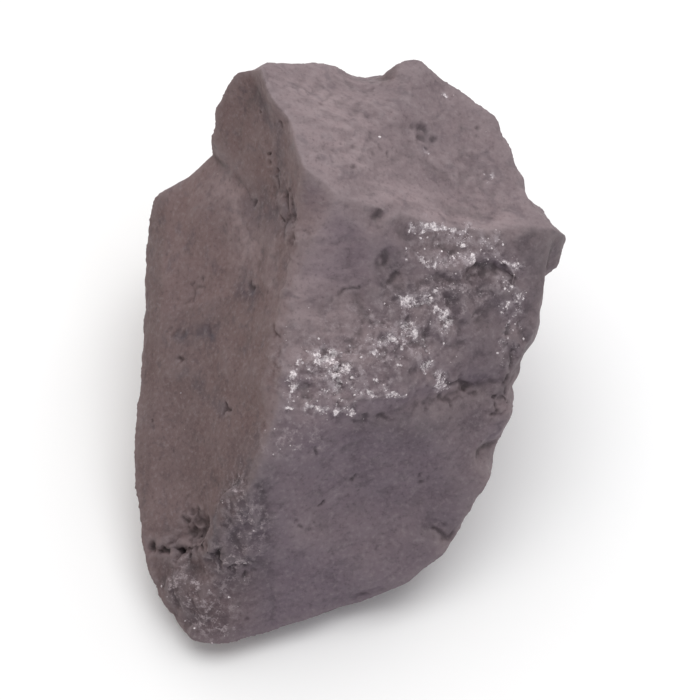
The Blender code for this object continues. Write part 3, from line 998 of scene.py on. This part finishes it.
# Painted light and shade: each named face's colour is scaled lighter or darker by its tone.
painted_face_light = np.ones(len(triangles))
for flatness, tone, corners in FACES.values():
    chosen = inside_outline(shown, corners) & towards_eye
    if flatness > 0.0:
        middle = (directions[chosen] * areas[chosen, None]).sum(axis=0)
        middle = settle(middle / np.linalg.norm(middle))
        chosen &= settle(directions @ middle) > LIKENESS
        turned = directions[chosen] + flatness * (middle - directions[chosen])
        directions[chosen] = settle(turned / np.linalg.norm(turned, axis=1)[:, None])
    painted_face_light[chosen] = tone
point_face_light = np.bincount(triangles.ravel(), np.repeat(painted_face_light, 3), len(points))
point_face_light /= np.bincount(triangles.ravel(), minlength=len(points))
store(stone.data, "tone", soften(point_face_light[:, None], ends, FACE_LIGHT_ROUNDS)[:, 0])
for _ in range(BLEND_ROUNDS):
    directions = turn_faces_together(directions, areas, neighbours, FIRM_BEND)
rough_points = points
for _ in range(POINT_ROUNDS):
    points = fit_points(points, triangles, directions)
moves = points - rough_points
distances = np.linalg.norm(moves, axis=1)
points = rough_points + moves * (LONGEST_MOVE / np.maximum(distances, LONGEST_MOVE))[:, None]
for _ in range(NEEDLE_ROUNDS):
    middles = settle(soften(points, ends, 1))
    needles = np.linalg.norm(points - middles, axis=1) > NEEDLE_HEIGHT
    points = np.where(needles[:, None], middles, points)
write_points(stone.data, points)
print("points moved, mm at most:", round(float(distances.max()), 2))

# %% [markdown]
# ## Single marks
#
# Pits, cracks and low ridges that the eye catches one by one are listed. Each has a path,
# a half width and a height in millimetres, below zero for a hollow. Noise breaks the long
# ones up. Their heights add up to one stored value, and how deep a point lies in a hollow
# is stored for the finish.

# %% Name the marks
MARKS = {
    "wall_pit_a": ([(-8.4, 21.0)], 0.55, -0.6), "wall_pit_b": ([(-9.6, 25.8)], 0.5, -0.4),
    "wall_pit_c": ([(-10.3, 15.6)], 0.6, -0.4), "wall_pit_d": ([(-7.3, 14.2)], 0.55, -0.4),
    "wall_pit_e": ([(-6.3, 15.9)], 0.5, -0.4), "wall_pit_f": ([(-7.8, 19.2)], 0.5, -0.35),
    "wall_pit_g": ([(-7.3, 24.0)], 0.5, -0.35), "wall_foot": ([(-6.0, 12.0)], 0.6, -0.35),
    "left_slot": ([(-17.1, 5.4), (-15.9, 7.2)], 0.7, -0.45),
    "left_oval": ([(-10.5, 6.6)], 0.9, -0.45),
    "left_row": ([(-18.9, 1.8), (-16.5, 2.1), (-14.1, 2.7)], 1.0, -0.15),
    "left_low_pit": ([(-18.3, -1.2)], 0.6, -0.35), "left_ridge_pit": ([(-8.1, 1.8)], 0.6, -0.35),
    "left_pit_d": ([(-13.2, -6.1)], 0.6, -0.35), "left_pit_e": ([(-21.3, -7.8)], 0.6, -0.35),
    "top_dimple": ([(7.8, 23.4)], 1.6, -0.35), "top_pit_b": ([(0.3, 19.8)], 0.5, -0.3),
    "top_pit_c": ([(-0.6, 22.2)], 0.45, -0.25), "top_pit_d": ([(4.2, 21.0)], 0.5, -0.3),
    "upright_hollow": ([(3.7, 9.6), (4.6, 8.6), (4.3, 7.4)], 1.5, -0.4),
    "round_hollow": ([(14.9, 7.6)], 2.4, -0.3), "hollow_floor": ([(13.6, 6.4)], 1.3, -0.2),
    "crust_pit_a": ([(9.9, 2.5)], 0.6, -0.5),
    "crust_pit_c": ([(16.8, 2.1)], 0.9, -0.5),
    "low_pit_a": ([(-3.6, -10.8)], 0.6, -0.3), "low_pit_b": ([(0.3, -13.8)], 0.6, -0.3),
    "low_pit_c": ([(-3.0, -16.2)], 0.6, -0.3), "low_pit_d": ([(-5.4, -19.2)], 0.6, -0.3),
    "low_pit_e": ([(7.8, -13.8)], 0.6, -0.25),
    "low_dent": ([(9.0, -18.6), (10.5, -19.8)], 1.3, -0.4),
    "foot_pit": ([(-16.8, -17.9), (-15.8, -18.8), (-16.1, -19.6)], 1.5, -1.6),
    "foot_pit_low": ([(-18.2, -21.7), (-16.2, -20.8)], 1.3, -1.2),
    "left_crack": ([(-21.6, -21.2), (-19.6, -21.4), (-18.0, -21.6)], 0.8, -0.7),
    "foot_crack": ([(-14.4, -21.8), (-13.2, -23.4), (-10.4, -23.6)], 0.8, -0.6),
    "top_step": ([(2.5, 28.6), (2.4, 25.0), (2.6, 20.5)], 0.9, -0.15),
    "ledge_crack": ([(0.8, -7.6), (4.0, -7.0), (8.4, -5.9), (13.2, -4.8)], 0.8, -0.25),
    "string_crack": ([(10.2, -3.0), (12.8, -4.2)], 0.6, -0.5),
    "top_crack": ([(-5.4, 20.7), (-2.7, 21.6), (0.0, 21.0)], 0.35, -0.2),
    "middle_curve": ([(-2.1, 4.8), (-0.9, 6.6), (0.6, 6.9)], 0.6, -0.3),
    "rim_crack": ([(17.4, 0.0), (16.8, -3.6), (15.6, -6.3)], 0.6, -0.6),
    "middle_dash": ([(-8.1, 12.3), (-6.3, 12.2), (-4.5, 12.6)], 0.5, -0.12),
    "lump_border": ([(-14.1, -16.8), (-13.5, -14.7), (-11.7, -13.5)], 0.5, -0.35),
    "plate_streak_a": ([(-5.1, 27.9), (3.6, 28.7)], 0.45, -0.1),
    "plate_streak_b": ([(-4.2, 26.7), (4.2, 26.4)], 0.5, 0.1),
    "plate_streak_c": ([(-6.0, 25.2), (2.4, 23.7)], 0.45, -0.09),
    "plate_streak_d": ([(-4.5, 23.4), (1.8, 21.6)], 0.4, 0.07),
    "top_crease": ([(3.0, 26.4), (6.0, 22.8), (10.2, 19.5), (15.6, 17.4)], 2.2, 0.2),
    "column_edge": ([(-5.7, 12.6), (-6.6, 6.6), (-7.5, -0.9)], 1.2, 0.2),
    "ledge_lip": ([(-6.6, -5.7), (-2.1, -5.7), (2.4, -5.1), (6.9, -3.9), (12.0, -2.4)], 1.0, 0.3),
}
BREAK_WIDTH = 1.1
BREAK_LOW = -0.25
BREAK_HIGH = 0.3
FAINTEST = 0.35
FULL_SHADE_DEPTH = 0.9

skin_points = points
skin_finder = BVHTree.FromPolygons(points.tolist(), triangles.tolist())
crooked = pushed_about(points, CROOKED_WIDTH, CROOKED_REACH)
lift = np.zeros(len(points))
pitted = np.zeros(len(points))
unbroken = (border_noise(points, BREAK_WIDTH) - BREAK_LOW) / (BREAK_HIGH - BREAK_LOW)
unbroken = np.clip(unbroken, FAINTEST, 1.0)
for path, half_width, height in MARKS.values():
    rounded = eased(closeness(crooked, path, half_width)) * (unbroken if len(path) > 1 else 1.0)
    lift += height * rounded
    # Painted shade in the marks' hollows, darker the deeper they are.
    pitted = np.maximum(pitted, rounded * min(1.0, max(0.0, -height / FULL_SHADE_DEPTH)))
store(stone.data, "lift", lift)
store(stone.data, "pitted", pitted)
print("marks:", len(MARKS), "deepest, mm:", round(float(lift.min()), 2))

# %% [markdown]
# ## The broken skin
#
# The rest of the relief follows a rule, so Geometry Nodes make it. Broken rock is built of
# small flat chips, each tilted its own way. A Voronoi pattern gives the chips, each cell's
# random colour gives the tilt, and Set Position moves the points. Noise, pits and the
# rings round a blow come on top. All sizes are named inputs in millimetres.

# %% Build the relief tree
SKIN_SIZES = {
    "Chip Width": 1.5, "Chip Tilt": 0.12,
    "Bend Width": 3.0, "Bend": 2.2,
    "Swell Width": 3.0, "Swell Height": 0.06, "Grain Width": 0.7, "Grain Height": 0.045,
    "Pit Spacing": 2.6, "Pit Radius": 0.42, "Pit Depth": 0.22,
    "Ripple Spacing": 1.5, "Ripple Height": 0.045, "Crust Height": 0.16,
}
STRIKE_POINT = (-7.0, 21.0, 38.0)
RIPPLE_WANDER_WIDTH = 4.0
RIPPLE_WANDER = 1.2
CRUST_LUMP_WIDTH = 0.6
CELLS_WITH_PIT = 0.22
SMALL_PIT_SHADE = 0.4
MIDDLE = (0.5, 0.5, 0.5)


def tilted_cells(tree, position, width, tilt):
    """Flat cells, each tilted its own way."""
    cells = add_node(tree, "ShaderNodeTexVoronoi", Vector=position,
                     Scale=calculate(tree, "DIVIDE", 1.0, width))
    offset = vector_math(tree, "SUBTRACT", position, cells.outputs["Position"])
    lean = vector_math(tree, "SUBTRACT", cells.outputs["Color"], MIDDLE)
    return multiply(tree, vector_math(tree, "DOT_PRODUCT", offset, lean), tilt, 2.0)


def bent(tree, position, width, bend):
    """The position pushed about by noise, so that patterns on it lose their straight lines."""
    push = noise_node(tree, position, width, detail=2.0).outputs["Color"]
    centred = vector_math(tree, "SUBTRACT", push, MIDDLE)
    return vector_math(tree, "ADD", position, vector_math(tree, "SCALE", centred, bend))


def pits(tree, position, sizes):
    """Small round pits, in some of the cells of a Voronoi pattern."""
    cells = add_node(tree, "ShaderNodeTexVoronoi", Vector=position,
                     Scale=calculate(tree, "DIVIDE", 1.0, sizes["Pit Spacing"]))
    distance = multiply(tree, cells.outputs["Distance"], sizes["Pit Spacing"])
    bowl = fade(tree, distance, 0.0, sizes["Pit Radius"], 1.0, 0.0)
    lucky = add_node(tree, "ShaderNodeSeparateXYZ", Vector=cells.outputs["Color"])
    return multiply(tree, bowl, calculate(tree, "LESS_THAN", lucky.outputs[0], CELLS_WITH_PIT))


def ripples(tree, position, sizes):
    """Rings round the point where the flake was struck off."""
    reach = vector_math(tree, "DISTANCE", position, STRIKE_POINT)
    wander = swing(tree, noise_value(tree, position, RIPPLE_WANDER_WIDTH), RIPPLE_WANDER)
    turns = calculate(tree, "DIVIDE", calculate(tree, "ADD", reach, wander),
                      sizes["Ripple Spacing"])
    wave = calculate(tree, "SINE", calculate(tree, "MULTIPLY", turns, 2.0 * math.pi))
    return multiply(tree, wave, sizes["Ripple Height"])


def relief_tree(material):
    """The whole relief, summed and applied along the normals."""
    tree, sizes, result = new_tree("broken_skin", SKIN_SIZES)
    position = position_mm(tree)
    crooked = bent(tree, position, sizes["Bend Width"], sizes["Bend"])
    pit = pits(tree, position, sizes)
    swells = noise_value(tree, position, sizes["Swell Width"], detail=4.0, roughness=0.55)
    grains = noise_value(tree, position, sizes["Grain Width"], detail=4.0, roughness=0.6)
    crust_lumps = noise_value(tree, position, CRUST_LUMP_WIDTH, detail=4.0, roughness=0.6)
    layers = [
        stored(tree, "lift"),
        multiply(tree, tilted_cells(tree, crooked, sizes["Chip Width"], sizes["Chip Tilt"]),
                 stored(tree, "crumble")),
        swing(tree, swells, sizes["Swell Height"]),
        swing(tree, grains, sizes["Grain Height"]),
        multiply(tree, ripples(tree, position, sizes), stored(tree, "ripple")),
        multiply(tree, swing(tree, crust_lumps, sizes["Crust Height"]), stored(tree, "crust")),
        multiply(tree, pit, sizes["Pit Depth"], -1.0),
    ]
    height = layers[0]
    for layer in layers[1:]:
        height = calculate(tree, "ADD", height, layer)
    # Painted shade in the small pits, stored with the marks' painted shade.
    small_pits = multiply(tree, pit, SMALL_PIT_SHADE)
    noted = add_node(tree, "GeometryNodeStoreNamedAttribute", {"data_type": "FLOAT"},
                     Geometry=sizes["Geometry"], Name="pitted",
                     Value=calculate(tree, "MAXIMUM", small_pits, stored(tree, "pitted")))
    return finish_tree(tree, result, raise_points(tree, noted.outputs[0], height), material)


run_tree(stone, relief_tree(rock), SKIN_SIZES)
print("relief done on", len(stone.data.vertices), "points")

# %% [markdown]
# ## Spend the triangles where they count
#
# The even net has far more triangles than the calm faces need. Decimate removes points
# where the surface is nearly flat and keeps them in the rough parts, at the pits and along
# the ridges. Then the points that the relief pushed below the ground come back up to it.

# %% Thin out the calm faces
TRIANGLE_BUDGET = 192000

thinner = stone.modifiers.new("thin_out", "DECIMATE")
thinner.ratio = min(1.0, TRIANGLE_BUDGET / len(stone.data.polygons))
keep_result(stone)
cut_to_triangles(stone.data)
points = bring_to_ground(stone.data)
print("skin now:", len(stone.data.polygons), "triangles")

# %% [markdown]
# ## Hollows, edges and facing
#
# Shadow gathers in hollows, so they get painted shade, and edges catch the light and rub
# paler, so they get a painted highlight that is partly wear. Both can be measured: a point
# that lies deep among its neighbours is in a hollow, and one that stands out of them is on an
# edge. The softened directions also tell which way a whole face looks: the left faces get a
# painted warm shade and the low front a painted cool, violet shade, like light thrown back.

# %% Measure hollows, edges and facing
NEAR_ROUNDS = 6
NEAR_SPAN = 0.06
WIDE_ROUNDS = 40
WIDE_SPAN = 0.3
HOLLOW_NEAR = 0.5
HOLLOW_WIDE = 0.5
HOLLOW_START = 0.15
EDGE_NEAR = 0.7
EDGE_WIDE = 0.4
FACING_ROUNDS = 10
LEFT_GAIN = 1.6
LEFT_START = 0.25
FRONT_GAIN = 2.5
FRONT_START = 1.2


def standing_out(points, normals, ends, rounds, span):
    """How far each point stands out of its neighbourhood, from -1 to 1."""
    gaps = points - soften(points, ends, rounds)
    return np.clip(np.einsum("ij,ij->i", gaps, normals) / span, -1.0, 1.0)


ends = edge_ends(read_triangles(stone.data))
normals = read_normals(stone.data)
near = standing_out(points, normals, ends, NEAR_ROUNDS, NEAR_SPAN)
wide = standing_out(points, normals, ends, WIDE_ROUNDS, WIDE_SPAN)
hollow = np.clip(-HOLLOW_NEAR * near - HOLLOW_WIDE * wide - HOLLOW_START, 0.0, 1.0)
store(stone.data, "hollow", hollow)
store(stone.data, "edge", np.clip(EDGE_NEAR * near + EDGE_WIDE * wide, 0.0, 1.0))
facing = soften(normals, ends, FACING_ROUNDS)
# The faces turned left, and the foot corner, get the painted warm shade.
leftward = np.clip(-LEFT_GAIN * facing[:, 0] - LEFT_START, 0.0, 1.0)
store(stone.data, "leftward", np.maximum(leftward, in_zone(points, PAINTED_WARM_SHADE)))
# The low front faces get the painted cool violet shade.
store(stone.data, "frontward", np.clip(-FRONT_GAIN * facing[:, 1] - FRONT_START, 0.0, 1.0))
print("share in hollows:", round(float((near < -0.5).mean()), 3),
      "on edges:", round(float((near > 0.5).mean()), 3))

# %% [markdown]
# ## Mineral grains
#
# The crust is a film of tiny pale crystals. Real grains catch the light one by one, which
# paint can't do, so each is a small solid. Geometry Nodes scatter points over the skin,
# thickly where the crust is and thinly elsewhere, put a rough crystal on each, and realize
# them into one mesh. Densities are crystals on a square millimetre.

# %% Grow the grains
GRAIN_SIZES = {
    "Crust Density": 16.0, "Dust Density": 1.2, "Stray Density": 0.004, "Clump Width": 0.7,
    "Smallest": 0.04, "Largest": 0.19,
}
GRAIN_SEED = 7
GRAIN_SIZE_SKEW = 3.5
CRYSTAL_UNEVENNESS = 0.35
CRYSTAL_NOISE_SCALE = 1.7
CRYSTAL_FLATNESS = 0.7
CRYSTAL_ROUGHNESS = 0.45
CRYSTAL_TONE_WIDTH = 0.6
CRYSTAL_TONES = (0.4, 0.6)
CLUMP_RANGE = (0.46, 0.66)


def crystal_object():
    """One rough crystal with twenty faces, a millimetre in radius before scaling."""
    shape = bmesh.new()
    bmesh.ops.create_icosphere(shape, subdivisions=1, radius=1.0 * MM)
    for corner in shape.verts:
        unevenness = noise.noise(corner.co / MM * CRYSTAL_NOISE_SCALE)
        corner.co *= 1.0 + CRYSTAL_UNEVENNESS * unevenness
        corner.co.z *= CRYSTAL_FLATNESS
    return object_from(shape, "crystal")


def crust_material(grain_nodes):
    """Pale chalky crystals, each a slightly different tone."""
    material, tree, shader = start_material("pale_crust")
    tone = fine_grain(tree, grain_nodes, CRYSTAL_TONE_WIDTH)
    tint = mix(tree, fade(tree, tone, *CRYSTAL_TONES), CRUST_GREY, CRUST_WHITE)
    feed(tree, shader.inputs["Base Color"], tint)
    shader.inputs["Roughness"].default_value = CRYSTAL_ROUGHNESS
    return material


def random_value(tree, kind, low, high, seed):
    """A random value or vector for each instance."""
    made = add_node(tree, "FunctionNodeRandomValue", {"data_type": kind}, Seed=seed)
    first, output = (0, 0) if kind == "FLOAT_VECTOR" else (2, 1)
    feed(tree, made.inputs[first], low)
    feed(tree, made.inputs[first + 1], high)
    return made.outputs[output]


def grain_tree(crystal, material):
    """Scatter crystals over the skin by the stored crust value."""
    tree, sizes, result = new_tree("mineral_grains", GRAIN_SIZES)
    clumpiness = noise_value(tree, position_mm(tree), sizes["Clump Width"])
    clumps = fade(tree, clumpiness, *CLUMP_RANGE)
    wanted = calculate(tree, "MULTIPLY_ADD", multiply(tree, stored(tree, "crust"), clumps),
                       sizes["Crust Density"], sizes["Stray Density"])
    dusty = multiply(tree, stored(tree, "dust"), clumps, sizes["Dust Density"])
    wanted = calculate(tree, "ADD", wanted, dusty)
    scatter = add_node(tree, "GeometryNodeDistributePointsOnFaces", Mesh=sizes["Geometry"],
                       Density=multiply(tree, wanted, 1.0 / (MM * MM)), Seed=GRAIN_SEED)
    chance = random_value(tree, "FLOAT", 0.0, 1.0, GRAIN_SEED)
    skewed = calculate(tree, "POWER", chance, GRAIN_SIZE_SKEW)
    spread = calculate(tree, "SUBTRACT", sizes["Largest"], sizes["Smallest"])
    radius = calculate(tree, "MULTIPLY_ADD", skewed, spread, sizes["Smallest"])
    whole_turns = (2.0 * math.pi,) * 3
    turn = random_value(tree, "FLOAT_VECTOR", (0.0,) * 3, whole_turns, GRAIN_SEED + 1)
    shape_info = add_node(tree, "GeometryNodeObjectInfo", Object=crystal)
    placed = add_node(tree, "GeometryNodeInstanceOnPoints", Points=scatter.outputs["Points"],
                      Instance=shape_info.outputs["Geometry"], Rotation=turn, Scale=radius)
    return finish_tree(tree, result, placed.outputs[0], material)


crystal = crystal_object()
grains = put_in_scene("mineral_grains", stone.data.copy())
run_tree(grains, grain_tree(crystal, crust_material(grain_nodes)), GRAIN_SIZES)
bpy.data.objects.remove(crystal)
bring_to_ground(grains.data)
print("grain triangles:", len(grains.data.polygons))

# %% [markdown]
# ## Hand the pieces to the frame
#
# The fine skin stands for the plain solid, and the grains sit on it. Both belong to the
# one body that the stone is.

# %% Place the pieces
stone.data.polygons.foreach_set("use_smooth", [True] * len(stone.data.polygons))
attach(stone, "root")
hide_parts("shungite_stone")
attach(grains, "root")

# %% [markdown]
# ## A small studio
#
# A dark matt stone shows its form by the light on its faces. One broad soft light high
# behind its right shoulder makes the top face the brightest and leaves the left face dark.
# A weak warm light on the left and a weak cool one in front keep the steep faces readable,
# and a near-white floor throws light back up. Sizes and places here are in metres.

# %% Set the floor, the lights and the camera
FLOOR_SIZE = 3.0
FLOOR_GREY = (0.93, 0.93, 0.93, 1.0)
FLOOR_ROUGHNESS = 0.9
CAMERA_LENS = 200.0
WORLD_STRENGTH = 0.36
LIT_HEIGHT = 0.015
KEY_DIRECTION = Vector((0.05, 0.42, 0.9))
KEY_DISTANCE = 0.8
LIGHTS = {
    "key_panel": (KEY_DIRECTION * KEY_DISTANCE, 1.2, 9.0, (1.0, 1.0, 1.0)),
    "warm_side": (Vector((-0.6, -0.15, 0.2)), 0.4, 0.25, (1.0, 0.72, 0.5)),
    "cool_front": (Vector((0.35, -0.56, 0.25)), 0.4, 0.8, (0.9, 0.92, 1.0)),
}


def floor():
    """A wide pale floor at the height the stone stands on."""
    shape = bmesh.new()
    bmesh.ops.create_grid(shape, x_segments=1, y_segments=1, size=FLOOR_SIZE / 2)
    made = object_from(shape, "floor")
    material, _, shader = start_material("pale_floor")
    shader.inputs["Base Color"].default_value = FLOOR_GREY
    shader.inputs["Roughness"].default_value = FLOOR_ROUGHNESS
    made.data.materials.append(material)


def soft_light(name, place, size, power, colour):
    """A square area light that faces the stone."""
    data = bpy.data.lights.new(name, "AREA")
    data.shape = "SQUARE"
    data.size = size
    data.energy = power
    data.color = colour
    made = put_in_scene(name, data)
    made.location = place
    aim = Vector((0.0, 0.0, LIT_HEIGHT)) - place
    made.rotation_euler = aim.to_track_quat("-Z", "Y").to_euler()


def camera():
    """A long-lens camera in the eye of the front view."""
    data = bpy.data.cameras.new("camera")
    data.lens = CAMERA_LENS
    made = put_in_scene("camera", data)
    made.location = (SIGHT_POINT + EYE_BACK * EYE_DISTANCE) * MM
    made.rotation_euler = (-EYE_BACK).to_track_quat("-Z", "Y").to_euler()
    bpy.context.scene.camera = made


def world():
    """An even white surrounding light."""
    surroundings = bpy.data.worlds.new("white_room")
    surroundings.use_nodes = True
    background = surroundings.node_tree.nodes["Background"]
    background.inputs["Color"].default_value = (1.0, 1.0, 1.0, 1.0)
    background.inputs["Strength"].default_value = WORLD_STRENGTH
    bpy.context.scene.world = surroundings


floor()
world()
for name, (place, size, power, colour) in LIGHTS.items():
    soft_light(name, place, size, power, colour)
camera()
bpy.context.scene.view_settings.view_transform = "Standard"
print("camera at, mm:", [round(value / MM) for value in bpy.context.scene.camera.location])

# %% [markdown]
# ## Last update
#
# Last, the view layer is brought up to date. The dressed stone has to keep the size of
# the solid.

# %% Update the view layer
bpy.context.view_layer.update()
